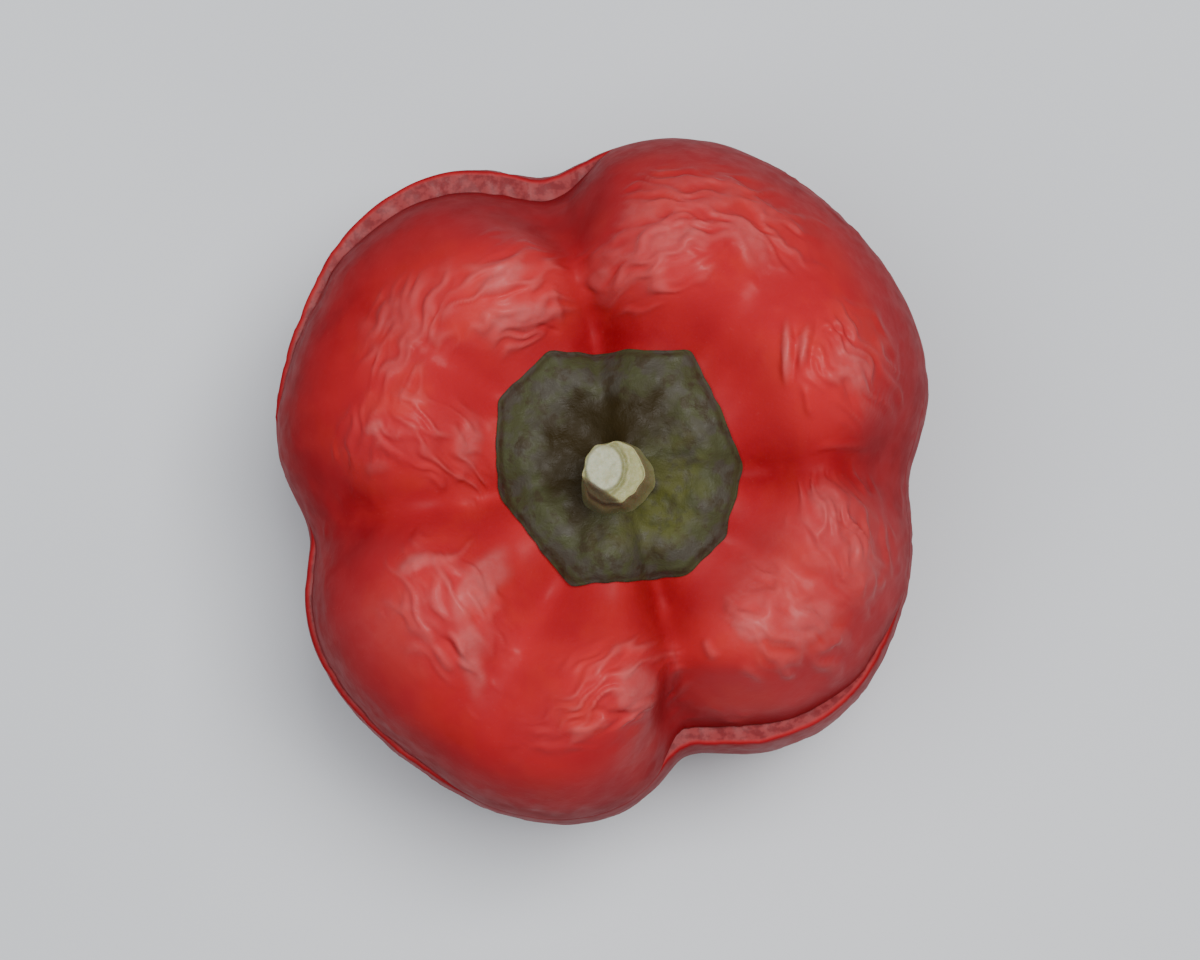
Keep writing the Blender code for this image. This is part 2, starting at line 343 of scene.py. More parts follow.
def valley(angle, middle, before, after):
    """How deep in one valley a direction is: 1 at its bottom, 0 far from it."""
    off = turn_between(angle, middle)
    width = np.where(off < 0.0, before, after)
    off = np.hypot(off, CREASE) - CREASE
    return np.exp(-((off / width) ** 1.3))


def noise(points, seed):
    """Smooth gradient noise at each point, about -1 to 1, on a seeded lattice."""
    rng = np.random.default_rng(seed)
    order = rng.permutation(256)
    slopes = rng.normal(size=(256, 3))
    slopes /= np.linalg.norm(slopes, axis=1)[:, None]
    shape = points.shape[:-1]
    points = points.reshape(-1, 3)
    cell = np.floor(points).astype(int)
    part = points - cell
    fade = part**3 * (part * (part * 6.0 - 15.0) + 10.0)
    total = np.zeros(len(points))
    for corner in itertools.product((0, 1), repeat=3):
        x, y, z = ((cell + corner) & 255).T
        pick = order[(order[(order[x] + y) & 255] + z) & 255]
        weight = np.prod(np.where(corner, fade, 1.0 - fade), axis=1)
        total += weight * np.einsum("ij,ij->i", slopes[pick], part - corner)
    return (1.7 * total).reshape(shape)


def stack(*parts):
    """One array of points from arrays of coordinates, or numbers, of any shape."""
    return np.stack(np.broadcast_arrays(*parts), axis=-1)


def skin_surface(tilt, angle, shrink=0.0):
    """Points of the skin: tilt -90 is the blossom end, 0 the belly, 90 the calyx."""
    tilt, angle = np.broadcast_arrays(tilt, angle)
    turn = np.radians(angle)
    power = 2.0 / BLOCKINESS
    out = np.clip(np.cos(np.radians(tilt)), 0.0, None) ** power
    rise = np.sin(np.radians(tilt))
    up = np.sign(rise) * np.abs(rise) ** power
    shoulder = smooth(up, 0.1, 0.9)
    foot = smooth(-up, 0.3, 1.0)
    deep = [valley(angle, row[0], row[3], row[4]) for row in VALLEYS]
    fading = smooth(out, 0.62, 0.92)
    notch = sum(v * row[1] for v, row in zip(deep, VALLEYS))
    dip = sum(v * row[2] * (1.0 + (row[5] - 1.0) * fading) for v, row in zip(deep, VALLEYS))
    reach = around(angle, tuple((a, r) for a, r, _ in LOBES))
    crown = around(angle, tuple((a, c) for a, _, c in LOBES))
    radius = (reach - notch * (0.85 + 0.25 * shoulder - 0.35 * foot)) * out
    seat = 0.5 - 0.5 * np.tanh((radius - SEAT_RADIUS) / SEAT_SOFTNESS)
    near_rim = smooth(out, 0.15, 0.55) * shoulder
    top = BELLY_HEIGHT + (HEIGHT - BELLY_HEIGHT) * up
    top = top + crown * shoulder - dip * near_rim - SEAT_DEPTH * seat
    base = BELLY_HEIGHT + (BELLY_HEIGHT + SLUMP) * up
    base = base + DIMPLE_DEPTH * np.exp(-((radius / DIMPLE_RADIUS) ** 2)) * foot
    base = base + 0.8 * notch * smooth(out, 0.1, 0.5) * foot
    lean = smooth(up, 0.55, 0.98)
    x = radius * np.cos(turn) + CALYX_AT[0] * lean
    y = radius * np.sin(turn) + CALYX_AT[1] * lean
    z = np.where(up >= 0.0, top, np.maximum(base, 0.0))
    inward = shrink * around(angle, LEDGE) * smooth(out, LEDGE_FROM, LEDGE_FULL)
    return stack(x - inward * np.cos(turn), y - inward * np.sin(turn), z)


def ring_tilts(low, high, count):
    """Tilts from low to high at even steps, but further apart under the calyx."""
    fine = np.linspace(low, high, 1441)
    side = skin_surface(fine, np.array(SPACING_SIDE))
    steps = np.linalg.norm(np.diff(side, axis=0), axis=1)
    steps *= 1.0 - 0.7 * smooth(fine[1:], 79.0, 84.0)
    length = np.concatenate([[0.0], np.cumsum(steps)])
    return np.interp(np.linspace(0.0, length[-1], count), length, fine)


def grid_normals(grid):
    """Outward normals of a grid of points whose rows are closed rings going up."""
    around_ring = np.roll(grid, -1, axis=1) - np.roll(grid, 1, axis=1)
    up_side = np.gradient(grid, axis=0)
    normal = np.cross(around_ring, up_side)
    return normal / np.maximum(np.linalg.norm(normal, axis=2, keepdims=True), 1e-9)


def local(x, y, at_x, at_y, heading):
    """Coordinates along and across a heading, from a point."""
    turn = math.radians(heading)
    off_x = x - at_x
    off_y = y - at_y
    along = off_x * math.cos(turn) + off_y * math.sin(turn)
    across = off_y * math.cos(turn) - off_x * math.sin(turn)
    return along, across


def oval(along, across, length, width):
    """1 in the middle of an oval, easing to 0 past its edge."""
    return 1.0 - smooth(np.hypot(2.0 * along / length, 2.0 * across / width), 0.45, 1.15)


def blister_fields(x, y):
    """Height of the loosened skin, and its paleness, partly the loosened skin and partly painted
    highlight.
    """
    height = np.zeros_like(x)
    pale = np.zeros_like(x)
    for at_x, at_y, heading, length, width, rise, tone in BLISTERS:
        along, across = local(x, y, at_x, at_y, heading)
        cover = oval(along, across, length, width)
        height = np.maximum(height, rise * cover)
        pale = np.maximum(pale, tone * cover)
    return height, pale


def fold_height(x, y, wander):
    """Height of the single folds and creases, whose lines wander a little."""
    height = np.zeros_like(x)
    for at_x, at_y, heading, length, width, rise, bend in FOLDS:
        along, across = local(x, y, at_x, at_y, heading)
        share = 2.0 * along / length
        across = across + wander - bend * share**2
        taper = 1.0 - smooth(np.abs(share), 0.35, 1.1)
        height = height + rise * taper * np.exp(-((across / width) ** 2))
    return height


def wrinkles(along, across, spacing, layer):
    """Long soft ridges that run along a heading, with finer ones between, 0 to 1.3."""
    coarse = noise(stack(along / (3.4 * spacing), across / spacing, layer), 12)
    fine = noise(stack(along / (2.4 * spacing), across / (0.6 * spacing), layer), 13)
    ridges = 1.0 - smooth(np.abs(coarse), 0.0, 0.42)
    return ridges + 0.30 * (1.0 - smooth(np.abs(fine), 0.0, 0.45))


def patch_fields(x, y, wander):
    """Height of the fine wrinkles, and how much of a wrinkled patch a point is in."""
    height = np.zeros_like(x)
    inside = np.zeros_like(x)
    for i, (at_x, at_y, heading, length, width, spacing, rise) in enumerate(PATCHES):
        along, across = local(x, y, at_x, at_y, heading)
        ragged = 1.0 + 0.35 * noise(stack(x / 3.5, y / 3.5, 3.1 * i), 11)
        cover = oval(along * ragged, across * ragged, length, width)
        height = height + rise * cover * wrinkles(along, across + wander, spacing, 7.3 * i)
        inside = np.maximum(inside, cover)
    return height, inside


def side_relief(grid):
    """Gentle unevenness of the whole body, with flutes and slump folds on its sides."""
    x, y, z = np.moveaxis(grid, -1, 0)
    lumps = 0.50 * noise(grid / 26.0, 21) + 0.08 * noise(grid / 10.0, 22)
    on_side = smooth(z, 6.0, 16.0) * (1.0 - smooth(z, 52.0, 64.0))
    flutes = noise(stack(x / 6.0, y / 6.0, z / 34.0), 23)
    flutes = 0.12 * on_side * np.minimum(np.abs(flutes) * 2.4, 1.0)
    loose = smooth(noise(grid / 15.0, 26), -0.10, 0.35)
    fine = noise(stack(x / 2.6, y / 2.6, z / 8.0), 27)
    fine = 0.12 * on_side * loose * (1.0 - smooth(np.abs(fine), 0.0, 0.40))
    low = smooth(z, 0.5, 5.0) * (1.0 - smooth(z, 12.0, 22.0))
    slump = noise(stack(x / 9.0, y / 9.0, z / 2.6), 24)
    where = smooth(noise(grid / 16.0, 25), -0.05, 0.35)
    slump = 0.30 * low * where * np.minimum(np.abs(slump) * 2.4, 1.0)
    return (lumps + flutes + fine + slump) * smooth(z, 0.2, 3.0)


def mesh_object(name, rows, caps, material, fields):
    """An object of closed rings, each end shut by a fan to its cap point.

    rows is an array of rings, from low to high, and caps are the two end points, or
    None where an end stays open. fields are the point attributes, given per ring point.
    """
    count_rows, count_around = rows.shape[:2]
    index = np.arange(count_rows * count_around).reshape(count_rows, count_around)
    beside = np.roll(index, -1, axis=1)
    quads = np.stack([index[:-1], beside[:-1], beside[1:], index[1:]], axis=-1)
    faces = quads.reshape(-1, 4).tolist()
    points = rows.reshape(-1, 3)
    values = {key: field.reshape(-1) for key, field in fields.items()}
    ends = ((index[0], beside[0]), (beside[-1], index[-1]))
    for cap, (ring, following) in zip(caps, ends):
        if cap is None:
            continue
        tip = len(points)
        points = np.vstack([points, cap])
        values = {key: np.append(field, field[ring].mean()) for key, field in values.items()}
        faces.extend((b, a, tip) for a, b in zip(ring.tolist(), following.tolist()))
    mesh = bpy.data.meshes.new(name)
    mesh.from_pydata((points * MM).tolist(), [], faces)
    for key, field in values.items():
        layer = mesh.attributes.new(key, "FLOAT", "POINT")
        layer.data.foreach_set("value", field.astype(np.float32))
    mesh.materials.append(material)
    mesh.shade_smooth()
    mesh.validate()
    obj = bpy.data.objects.new(name, mesh)
    bpy.context.scene.collection.objects.link(obj)
    return obj


class Look:
    """Short calls that build one material's nodes. Lengths are in millimetres."""

    def __init__(self, name):
        self.material = bpy.data.materials.new(name)
        self.material.use_nodes = True
        self.tree = self.material.node_tree
        self.shader = self.tree.nodes["Principled BSDF"]
        self.place = self.add("ShaderNodeTexCoord").outputs["Object"]

    def add(self, kind, **settings):
        node = self.tree.nodes.new(kind)
        for key, value in settings.items():
            setattr(node, key, value)
        return node

    def feed(self, socket, value):
        """Links an output to a socket, or sets the socket to a number or colour."""
        if isinstance(value, bpy.types.NodeSocket):
            self.tree.links.new(value, socket)
        elif isinstance(value, tuple) and len(value) == 3 and socket.type == "RGBA":
            socket.default_value = (*value, 1.0)
        else:
            socket.default_value = value

    def field(self, name):
        return self.add("ShaderNodeAttribute", attribute_name=name).outputs["Fac"]

    def speckle(self, size, detail=3.0, roughness=0.55, stretch=(1.0, 1.0, 1.0)):
        """Noise whose features are about size across, from about 0.3 to 0.7."""
        scaled = self.add("ShaderNodeVectorMath", operation="MULTIPLY")
        self.feed(scaled.inputs[0], self.place)
        scaled.inputs[1].default_value = stretch
        node = self.add("ShaderNodeTexNoise")
        self.feed(node.inputs["Vector"], scaled.outputs["Vector"])
        node.inputs["Scale"].default_value = 1.0 / (size * MM)
        node.inputs["Detail"].default_value = detail
        node.inputs["Roughness"].default_value = roughness
        return node.outputs["Fac"]

    def cells(self, size):
        """Distance from the middle of small rounded cells, 0 to about 1."""
        node = self.add("ShaderNodeTexVoronoi", feature="SMOOTH_F1")
        self.feed(node.inputs["Vector"], self.place)
        node.inputs["Scale"].default_value = 1.0 / (size * MM)
        return node.outputs["Distance"]

    def ease(self, value, low, high, to_low=0.0, to_high=1.0):
        """to_low where value is below low, to_high where it is above high, eased between."""
        node = self.add("ShaderNodeMapRange", interpolation_type="SMOOTHSTEP")
        self.feed(node.inputs["Value"], value)
        limits = {"From Min": low, "From Max": high, "To Min": to_low, "To Max": to_high}
        for key, number in limits.items():
            node.inputs[key].default_value = number
        return node.outputs["Result"]

    def combine(self, operation, a, b):
        node = self.add("ShaderNodeMath", operation=operation)
        self.feed(node.inputs[0], a)
        self.feed(node.inputs[1], b)
        return node.outputs["Value"]

    def mix(self, share, a, b):
        """The colour a where share is 0, and b where it is 1."""
        node = self.add("ShaderNodeMix", data_type="RGBA")
        self.feed(node.inputs["Factor"], share)
        self.feed(node.inputs[6], a)
        self.feed(node.inputs[7], b)
        return node.outputs[2]

    def bump(self, height, depth, below=None):
        """Fine relief of a depth in millimetres, on top of the bump below it."""
        node = self.add("ShaderNodeBump")
        node.inputs["Distance"].default_value = depth * MM
        self.feed(node.inputs["Height"], height)
        if below is not None:
            self.feed(node.inputs["Normal"], below)
        return node.outputs["Normal"]

    def finish(self, colour, roughness, normal):
        self.feed(self.shader.inputs["Base Color"], colour)
        self.feed(self.shader.inputs["Roughness"], roughness)
        self.feed(self.shader.inputs["Normal"], normal)
        return self.material


def skin_look(name):
    """Roasted red skin: painted shade in the valleys, by the calyx and on the sides, paler where
    it blistered and as painted highlight on folds and wrinkles, and cut flesh.
    """
    look = Look(name)
    red = (0.43, 0.019, 0.023)
    crimson = (0.37, 0.015, 0.021)
    orange = (0.45, 0.027, 0.022)
    # pink is the paler loosened skin and also painted highlight; deep is the red of the painted
    # shade
    blister_and_sheen_pink = (0.43, 0.078, 0.078)
    deep = (0.20, 0.004, 0.008)
    flesh = (0.15, 0.017, 0.020)
    pale_flesh = (0.22, 0.032, 0.034)
    cloudy = look.ease(look.speckle(14.0, 2.0), 0.40, 0.62)
    colour = look.mix(cloudy, crimson, red)
    warm = look.ease(look.speckle(9.0, 3.0), 0.48, 0.66, 0.0, 0.5)
    colour = look.mix(warm, colour, orange)
    # the pale field: paler loosened skin, with painted highlight on the blisters, wrinkled
    # patches and raised folds
    mottled = look.ease(look.speckle(1.6, 5.0), 0.34, 0.66, 0.7, 1.0)
    pale = look.combine("MULTIPLY", look.field("pale"), mottled)
    colour = look.mix(pale, colour, blister_and_sheen_pink)
    # the deep field is painted shade: darker red in the valleys, by the calyx and on the outer
    # and low sides
    clouded = look.ease(look.speckle(5.0, 4.0), 0.36, 0.62, 0.80, 1.0)
    colour = look.mix(look.combine("MULTIPLY", look.field("deep"), clouded), colour, deep)
    freckle = look.ease(look.speckle(0.45, 2.0), 0.66, 0.74, 0.0, 0.10)
    colour = look.mix(freckle, colour, blister_and_sheen_pink)
    cut = look.mix(look.ease(look.speckle(1.2, 3.0), 0.4, 0.6), flesh, pale_flesh)
    colour = look.mix(look.field("flesh"), colour, cut)
    rough = look.ease(look.speckle(2.4, 4.0), 0.35, 0.65, 0.24, 0.34)
    rough = look.combine("ADD", rough, look.combine("MULTIPLY", look.field("deep"), 0.25))
    grain = look.bump(look.cells(0.42), 0.008)
    grain = look.bump(look.speckle(1.1, 4.0, 0.5), 0.035, grain)
    shader = look.shader
    shader.inputs["Specular IOR Level"].default_value = 0.045
    shader.inputs["Subsurface Weight"].default_value = 0.10
    shader.inputs["Subsurface Radius"].default_value = (1.0, 0.2, 0.1)
    shader.inputs["Subsurface Scale"].default_value = 1.5 * MM
    return look.finish(colour, rough, grain)


def calyx_look():
    """Leathery calyx: grey-green mottle outside, brown inside, olive on one side."""
    look = Look("calyx_green")
    grey = (0.050, 0.045, 0.034)
    brown = (0.036, 0.026, 0.015)
    green = (0.046, 0.048, 0.022)
    olive = (0.068, 0.070, 0.015)
    dark = (0.022, 0.015, 0.005)
    colour = look.mix(look.ease(look.speckle(3.0, 2.0), 0.42, 0.60), green, grey)
    blotch = look.ease(look.speckle(2.0, 3.0), 0.50, 0.64, 0.0, 0.8)
    colour = look.mix(blotch, colour, brown)
    fleck = look.ease(look.speckle(0.9, 3.0), 0.54, 0.72, 0.0, 0.4)
    colour = look.mix(fleck, colour, grey)
    mossy = look.ease(look.speckle(1.6, 3.0), 0.36, 0.56, 0.4, 1.0)
    colour = look.mix(look.combine("MULTIPLY", look.field("olive"), mossy), colour, olive)
    colour = look.mix(look.field("brown"), colour, dark)
    rough = look.ease(look.speckle(1.6, 3.0), 0.35, 0.65, 0.42, 0.62)
    grain = look.bump(look.speckle(0.35, 3.0), 0.05)
    grain = look.bump(look.speckle(1.4, 4.0), 0.14, grain)
    look.shader.inputs["Specular IOR Level"].default_value = 0.10
    return look.finish(colour, rough, grain)


def stem_look():
    """Cut stub: pale dried pith, an olive rind, a darker ring on the cut and a brown wedge and
    foot of painted shadow.
    """
    look = Look("stem_pith")
    pith = (0.35, 0.355, 0.24)
    straw = (0.26, 0.25, 0.115)
    rind = (0.23, 0.225, 0.085)
    shade_and_ring = (0.055, 0.050, 0.022)
    fibres = look.speckle(0.5, 3.0, 0.6, (1.0, 1.0, 0.12))
    colour = look.mix(look.ease(fibres, 0.4, 0.6), rind, straw)
    stained = look.ease(look.speckle(1.0, 4.0), 0.50, 0.68, 0.0, 0.5)
    fresh = look.mix(stained, pith, straw)
    colour = look.mix(look.field("pith"), colour, fresh)
    # painted shadow on the slanting side and low on the stem, and a darker ring on the cut
    colour = look.mix(look.field("shade_and_ring"), colour, shade_and_ring)
    rough = look.ease(look.speckle(0.8, 3.0), 0.35, 0.65, 0.55, 0.75)
    grain = look.bump(fibres, 0.10)
    look.shader.inputs["Subsurface Weight"].default_value = 0.08
    look.shader.inputs["Subsurface Scale"].default_value = 1.0 * MM
    return look.finish(colour, rough, grain)


def painted_shade(x, y, z, angle):
    """Painted shade: how much darker the red is made, most in the valleys, by the calyx and on
    the sides.
    """
    out = np.hypot(x, y)
    valleys = np.zeros_like(angle)
    for middle, notch, _, before, after, _ in VALLEYS:
        narrow = valley(angle, middle, 0.4 * before, 0.4 * after)
        valleys = valleys + narrow * min(notch / 5.0, 1.0)
    outside = (1.0 - smooth(z, 56.0, 75.0)) * smooth(out, 24.0, 34.0)
    on_side = 1.0 - smooth(z, 50.0, 57.0)
    from_calyx = np.hypot(x - CALYX_AT[0], y - CALYX_AT[1])
    inside = (1.0 - smooth(from_calyx, 16.0, 24.0)) * smooth(z, 50.0, 60.0)
    deep = 0.65 * valleys * smooth(out, 15.0, 22.0) + 0.45 * on_side
    deep = deep + around(angle, PAINTED_SHADE_OUTSIDE) * outside + around(angle, PAINTED_SHADE_INSIDE) * inside
    return np.clip(deep, 0.0, 0.9)


def roughened(grid, angle):
    """The skin with its relief, and the fields for its look."""
    x, y, z = np.moveaxis(grid, -1, 0)
    normal = grid_normals(grid)
    on_top = smooth(normal[..., 2], 0.12, 0.45) * smooth(z, 50.0, 60.0)
    wander = 0.55 * noise(stack(x / 3.4, y / 3.4, 0.0), 31)
    blister, pale = blister_fields(x + wander, y - wander)
    crumpled, inside = patch_fields(x, y, 2.0 * wander)
    relief = blister + fold_height(x, y, wander) + crumpled
    relief = relief * on_top + side_relief(grid)
    fine = grid + normal * relief[..., None]
    fine[..., 2] = np.maximum(fine[..., 2], 0.0)
    # painted highlight: paler on raised folds and in the wrinkled patches; the blisters'
    # paleness is partly loosened skin and partly painted highlight
    raised = smooth(relief, 0.05, 0.45) * on_top
    pale = (0.8 * pale + 0.12 * inside) * on_top + 0.45 * raised
    fields = {
        "pale": np.clip(pale, 0.0, 1.0),
        # painted shade
        "deep": painted_shade(x, y, z, angle),
        "flesh": np.zeros_like(z),
    }
    return fine, fields


def cut_rows(edge, steps, fields):
    """Rows of the cut face from an edge ring inwards, and their fields."""
    middle = edge.mean(axis=0)
    away = edge[:, :2] - middle[:2]
    away = away / np.linalg.norm(away, axis=1, keepdims=True)
    rows = []
    for inward, rise in steps:
        rough = 0.25 * smooth(np.array(inward), 0.3, 2.0) * noise(edge / 2.2, 61)
        row = edge.copy()
        row[:, :2] = edge[:, :2] - inward * away
        row[:, 2] = edge[:, 2] + rise + rough
        rows.append(row)
    fleshy = smooth(np.array([inward for inward, _ in steps]), 0.2, 0.7)[:, None]
    ones = np.ones(len(edge))
    values = {
        "pale": np.zeros((len(steps), len(edge))),
        # the skin's painted shade, carried onto the rim's outer rows
        "deep": (1.0 - fleshy) * fields["deep"][-1],
        "flesh": fleshy * ones,
    }
    return np.array(rows), values


def make_body():
    """The body: its skin, and the flesh of the cut rim around the lid."""
    tilts = ring_tilts(-90.0, CUT_TILT, BODY_RINGS + 1)
    angle = 360.0 * np.arange(SKIN_AROUND) / SKIN_AROUND
    grid, fields = roughened(skin_surface(tilts[1:, None], angle[None, :]), angle)
    rim, rim_fields = cut_rows(grid[-1], RIM_STEPS, fields)
    rows = np.concatenate([grid, rim])
    fields = {key: np.concatenate([fields[key], rim_fields[key]]) for key in fields}
    ends = (skin_surface(tilts[0], np.array(0.0)), rim[-1].mean(axis=0))
    return mesh_object("body_skin", rows, ends, skin_look("body_skin"), fields)


def make_lid():
    """The lid: its wrinkled skin, and the cut flesh of its underside."""
    tilts = ring_tilts(CUT_TILT, 90.0, LID_RINGS + 1)
    angle = 360.0 * np.arange(SKIN_AROUND) / SKIN_AROUND
    grid, fields = roughened(skin_surface(tilts[:-1, None], angle[None, :], 1.0), angle)
    grid[..., 2] += LID_GAP
    edge = {key: field[:1] for key, field in fields.items()}
    under, under_fields = cut_rows(grid[0], UNDER_STEPS, edge)
    rows = np.concatenate([under[::-1], grid])
    fields = {key: np.concatenate([under_fields[key][::-1], fields[key]]) for key in fields}
    under_calyx = skin_surface(tilts[-1], np.array(0.0), 1.0) + (0.0, 0.0, LID_GAP)
    ends = (under[-1].mean(axis=0), under_calyx)
    return mesh_object("lid_skin", rows, ends, skin_look("lid_skin"), fields)


def seat_heights(angle, radius):
    """Height of the smooth skin at distances from the calyx's own axis."""
    tilts = np.linspace(90.0, 25.0, 261)
    heights = np.zeros_like(radius)
    for column, one in enumerate(angle):
        side = skin_surface(tilts, np.array(one), 1.0) + (0.0, 0.0, LID_GAP)
        out = np.hypot(side[:, 0] - CALYX_AT[0], side[:, 1] - CALYX_AT[1])
        heights[:, column] = np.interp(radius[:, column], out, side[:, 2])
    return heights


def calyx_rim(angle):
    """Radius of the calyx's edge, which runs straight from corner to corner."""
    rim = np.zeros_like(angle)
    for (start, low), (end, high) in zip(CALYX_CORNERS, CALYX_CORNERS[1:] + CALYX_CORNERS[:1]):
        span = math.radians((end - start) % 360.0)
        along = np.radians((angle - start) % 360.0)
        line = low * np.sin(along) + high * np.sin(span - along)
        reach = low * high * math.sin(span) / np.where(along <= span, line, 1.0)
        rim = np.where(along <= span, reach, rim)
    return rim


def ragged_rim(angle, turn):
    """The calyx's rim with its corners rounded and its edge frayed a little."""
    rim = calyx_rim(angle)
    rim = 0.5 * rim + 0.25 * (np.roll(rim, 2) + np.roll(rim, -2))
    edge = stack(9.0 * np.cos(turn), 9.0 * np.sin(turn), 0.0)
    return rim + 0.22 * noise(edge / 1.3, 41) + 0.20 * noise(edge / 3.4, 42)


def calyx_top(x, y, share, radius, angle, seat):
    """Height of the calyx above the skin it sits on; share is 1 at its rim."""
    ring = np.exp(-(((share - CALYX_RING_AT) / CALYX_RING_WIDTH) ** 2))
    hub = np.exp(-((radius / CALYX_HUB_RADIUS) ** 2))
    off_ribs = [turn_between(angle, corner) / CALYX_RIB_WIDTH for corner, _ in CALYX_CORNERS]
    ribs = sum(np.exp(-(off**2)) for off in off_ribs)
    ribs = ribs[None, :] * smooth(share, 0.3, 0.7)
    lumps = 0.22 * noise(stack(x / 2.6, y / 2.6, 0.0), 43)
    lumps = lumps + 0.10 * noise(stack(x / 1.1, y / 1.1, 0.0), 44)
    top = seat + CALYX_EDGE + CALYX_RING * ring + CALYX_HUB * hub + CALYX_RIB * ribs
    top = top + lumps * smooth(share, 0.15, 0.4)
    fall = smooth(share, 0.93, 1.0)
    return top - fall * (top - seat - CALYX_LIP)


def calyx_fields(x, y, share):
    """Where the calyx is olive green, and where it is brown."""
    bearing = np.degrees(np.arctan2(y - CALYX_AT[1], x - CALYX_AT[0])) % 360.0
    patchy = noise(stack(x / 3.0, y / 3.0, 0.0), 45)
    off_olive = np.abs(turn_between(bearing, OLIVE_AT))
    olive = np.exp(-((off_olive / 62.0) ** 2)) * (1.0 - smooth(share, 0.55, 0.88))
    olive = olive * smooth(patchy, -0.7, 0.1)
    brown_side = 0.15 + 0.85 * smooth(off_olive, 55.0, 105.0)
    brown = brown_side * (1.0 - smooth(share + 0.10 * patchy, 0.50, 0.74))
    return {"olive": np.clip(olive, 0.0, 1.0), "brown": np.clip(brown, 0.0, 1.0)}


def make_calyx():
    """The calyx: a dished, mottled cap with a raised ring and ribs to its corners."""
    angle = 360.0 * np.arange(CALYX_AROUND) / CALYX_AROUND
    turn = np.radians(angle)
    share = np.linspace(0.0, 1.0, CALYX_RINGS + 1)[1:, None] ** 0.85
    radius = share * ragged_rim(angle, turn)[None, :]
    x = CALYX_AT[0] + radius * np.cos(turn)
    y = CALYX_AT[1] + radius * np.sin(turn)
    seat = seat_heights(angle, radius)
    top = calyx_top(x, y, share, radius, angle, seat)
    apex = (CALYX_AT[0], CALYX_AT[1], float(top[0].mean()))
    rows = stack(x, y, top)
    skirt = rows[-1].copy()
    skirt[:, 2] = seat[-1] - CALYX_SKIRT
    rows = np.concatenate([skirt[None], rows[::-1]])
    fields = calyx_fields(x, y, share)
    fields = {key: np.concatenate([field[-1:], field[::-1]]) for key, field in fields.items()}
    return mesh_object("calyx_cap", rows, (None, apex), calyx_look(), fields)


def stem_side(turn, up, towards_slant):
    """Radius of the stem's ribbed side; up is 0 at its foot and 1 at the cut."""
    ribs = 0.08 * np.cos(5.0 * turn + 0.6) + 0.06 * np.cos(11.0 * turn + 2.0)
    knobs = 0.18 * noise(stack(2.4 * np.cos(turn), 2.4 * np.sin(turn), 1.3 * up), 51)
    radius = STEM_RADIUS + STEM_FLARE * (1.0 - up) ** 4.0 + ribs + knobs
    radius = radius + towards_slant * (1.0 - up) * 1.2
    return radius - 0.20 * smooth(up, 0.96, 1.0)


def pith_fields(off_x, off_y):
    """How far off the pith's middle a point is, how pithy, and how deep in the moat."""
    pith_x = (off_x - PITH_OFF[0]) / PITH_RADII[0]
    pith_off = np.hypot(pith_x, (off_y - PITH_OFF[1]) / PITH_RADII[1])
    pith = 1.0 - smooth(pith_off, 0.85, 1.05)
    moat = np.exp(-(((pith_off - 1.06) / 0.13) ** 2))
    return pith_off, pith, moat


def make_stem():
    """The cut stub: a fibrous side, a rind, a paler pith and a slanting cut darkened with
    painted shadow.
    """
    angle = 360.0 * np.arange(STEM_AROUND) / STEM_AROUND
    turn = np.radians(angle)
    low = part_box("stem")[0].z / MM - STEM_SUNK
    up = np.linspace(0.0, 1.0, STEM_RINGS)[:, None]
    towards_slant = np.exp(-((turn_between(angle, STEM_SLANT) / 34.0) ** 2))
    radius = stem_side(turn, up, towards_slant)
    cut = np.linspace(1.0, 0.0, CUT_RINGS + 1)[1:-1, None]
    radius = np.concatenate([radius, cut * radius[-1]])
    level = np.concatenate([up, np.ones_like(cut)])
    off_x = radius * np.cos(turn)
    off_y = radius * np.sin(turn)
    on_cut = smooth(level, 0.985, 1.0)
    pith_off, pith, moat = pith_fields(off_x, off_y)
    roughen = noise(stack(off_x / 0.7, off_y / 0.7, 0.0), 52)
    top = STEM_TOP + STEM_CUT[0] * off_x + STEM_CUT[1] * off_y
    rim_fall = 0.8 * smooth(pith_off, 1.1, 2.1)
    top = top + on_cut * (0.25 * pith - 0.30 * moat + 0.12 * roughen - 0.2 - rim_fall)
    slant = math.radians(STEM_SLANT)
    along = off_x * math.cos(slant) + off_y * math.sin(slant)
    slanting = smooth(along, 2.4, 3.0) * smooth(level, 0.45, 0.8)
    z = low + (top - low) * level - 2.5 * np.clip(along - 2.5, 0.0, 3.0) * level**2
    x = STEM_AT[0] + STEM_LEAN[0] * level + off_x
    y = STEM_AT[1] + STEM_LEAN[1] * level + off_y
    rows = stack(x, y, z)
    apex = rows[-1].mean(axis=0)
    fresh = on_cut * (0.05 + 0.20 * smooth(-off_x, -0.5, 2.5) + 0.80 * pith - 0.30 * moat)
    # Painted shadow on the slanting side and low on the stem, most towards the slant, and a
    # darker ring in the moat of the cut
    foot = (0.10 + 0.65 * towards_slant) * (1.0 - smooth(level, 0.15, 0.50))
    shade_and_ring = np.maximum(np.maximum(0.85 * slanting, foot), 0.35 * on_cut * moat)
    fields = {"pith": np.clip(fresh, 0.0, 1.0), "shade_and_ring": np.clip(shade_and_ring, 0.0, 1.0)}
    return mesh_object("stem_stub", rows, (None, apex), stem_look(), fields)


def centre_on_cad(pieces):
    """Shifts the pieces to centre the body where the CAD's is, and returns the shift."""
    low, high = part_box("pepper_body")
    tilts = np.linspace(-90.0, CUT_TILT, 160)[:, None]
    span = skin_surface(tilts, 3.0 * np.arange(120)[None, :]).reshape(-1, 3) * MM
    middle = (span.min(axis=0) + span.max(axis=0)) / 2
    shift = Vector(((low.x + high.x) / 2 - middle[0], (low.y + high.y) / 2 - middle[1], 0.0))
    for piece in pieces:
        for vertex in piece.data.vertices:
            vertex.co += shift
    return shift


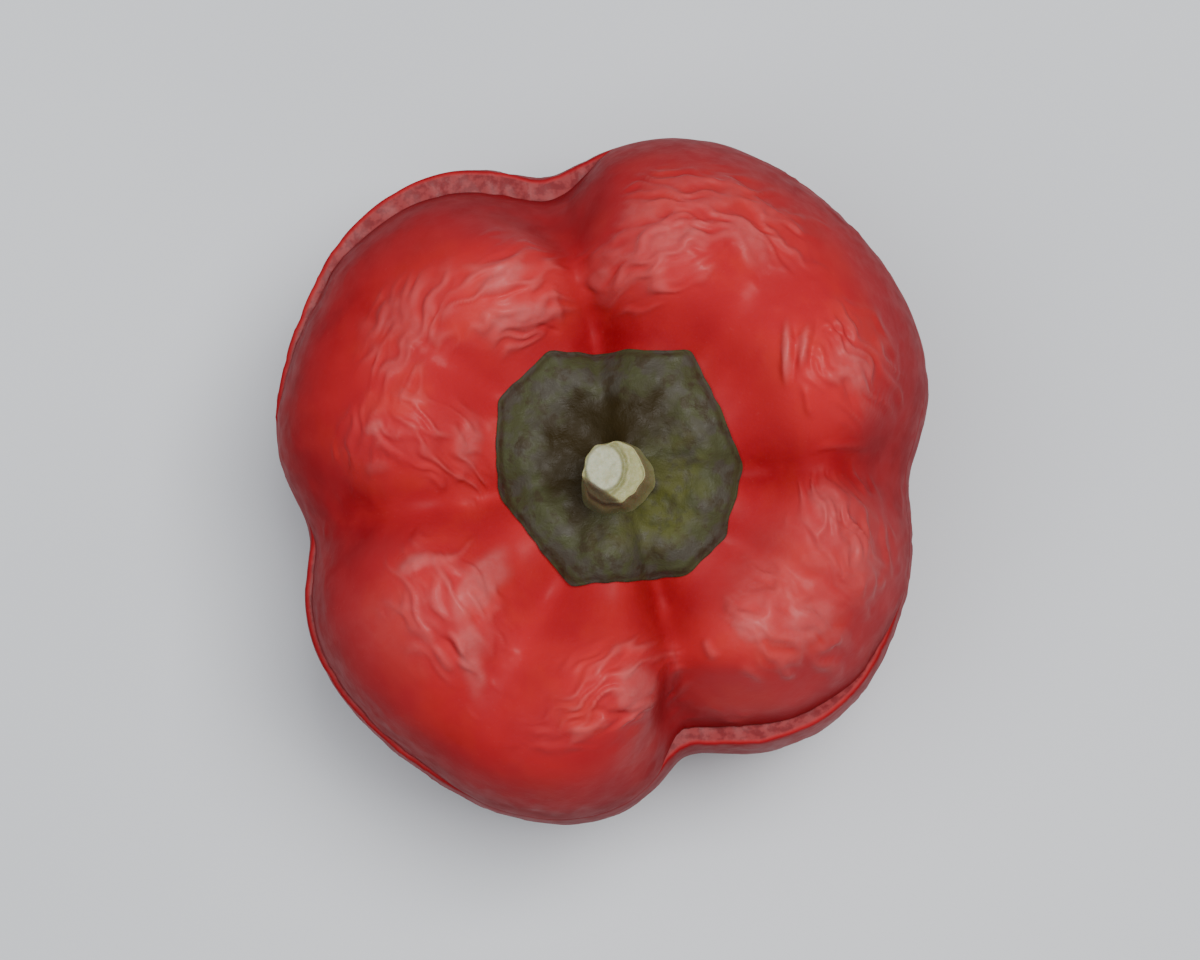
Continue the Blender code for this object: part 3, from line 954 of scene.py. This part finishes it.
def make_floor():
    """A plain pale floor for the pepper to stand on."""
    look = Look("floor")
    tone = look.ease(look.speckle(180.0, 2.0), 0.35, 0.65, 0.0, 1.0)
    colour = look.mix(tone, (0.55, 0.57, 0.60), (0.59, 0.61, 0.64))
    material = look.finish(colour, 0.7, look.bump(look.speckle(2.0, 2.0), 0.02))
    mesh = bpy.data.meshes.new("floor")
    low, high = -FLOOR_REACH, FLOOR_REACH
    corners = [(low, low, 0), (high, low, 0), (high, high, 0), (low, high, 0)]
    mesh.from_pydata(corners, [], [(0, 1, 2, 3)])
    mesh.materials.append(material)
    floor = bpy.data.objects.new("floor", mesh)
    bpy.context.scene.collection.objects.link(floor)


def aim(obj, target):
    """Points an object's -Z at a target, with its own up as near +Y as it can be."""
    back = (obj.location - Vector(target)).normalized()
    right = Vector((0.0, 1.0, 0.0)).cross(back).normalized()
    up = back.cross(right)
    obj.rotation_euler = Matrix((right, up, back)).transposed().to_euler()


def add_softbox(name, place, size, watts, colour):
    """A square area light that shines at the pepper."""
    light = bpy.data.lights.new(name, "AREA")
    light.shape = "SQUARE"
    light.size = size
    light.energy = watts
    light.color = colour
    obj = bpy.data.objects.new(name, light)
    obj.location = place
    bpy.context.scene.collection.objects.link(obj)
    aim(obj, (0.0, 0.0, LIGHTS_AIM))


def light_scene():
    """A soft key from above on the right, a broader fill on the left and pale air."""
    add_softbox("key", (0.24, 0.10, 1.00), 0.40, 12.0, (1.0, 0.985, 0.97))
    add_softbox("fill", (-0.24, -0.06, 1.10), 0.80, 8.0, (0.97, 0.985, 1.0))
    world = bpy.data.worlds.new("air")
    world.use_nodes = True
    air = world.node_tree.nodes["Background"]
    air.inputs["Color"].default_value = (0.80, 0.86, 0.95, 1.0)
    air.inputs["Strength"].default_value = 0.12
    bpy.context.scene.world = world


def add_camera(shift):
    """The camera, high above the pepper and a little off its axis, aimed at its middle."""
    camera = bpy.data.cameras.new("camera")
    camera.lens = LENS
    obj = bpy.data.objects.new("camera", camera)
    obj.location = (
        shift.x + CAMERA_OFF[0] * MM,
        shift.y + CAMERA_OFF[1] * MM,
        CAMERA_HEIGHT * MM,
    )
    bpy.context.scene.collection.objects.link(obj)
    aim(obj, (0.0, 0.0, AIM_HEIGHT * MM))
    bpy.context.scene.camera = obj


def main():
    """Makes the pieces and their stage."""
    body = make_body()
    lid = make_lid()
    calyx = make_calyx()
    stem = make_stem()
    shift = centre_on_cad((body, lid, calyx, stem))
    for piece, node, slot in (
        (body, "pepper_body", "roasted_skin"),
        (lid, "lid", "roasted_skin"),
        (calyx, "calyx", "calyx_green"),
        (stem, "stem", "stem_pith"),
    ):
        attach(piece, "root")
        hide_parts(node)
    make_floor()
    light_scene()
    add_camera(shift)


main()
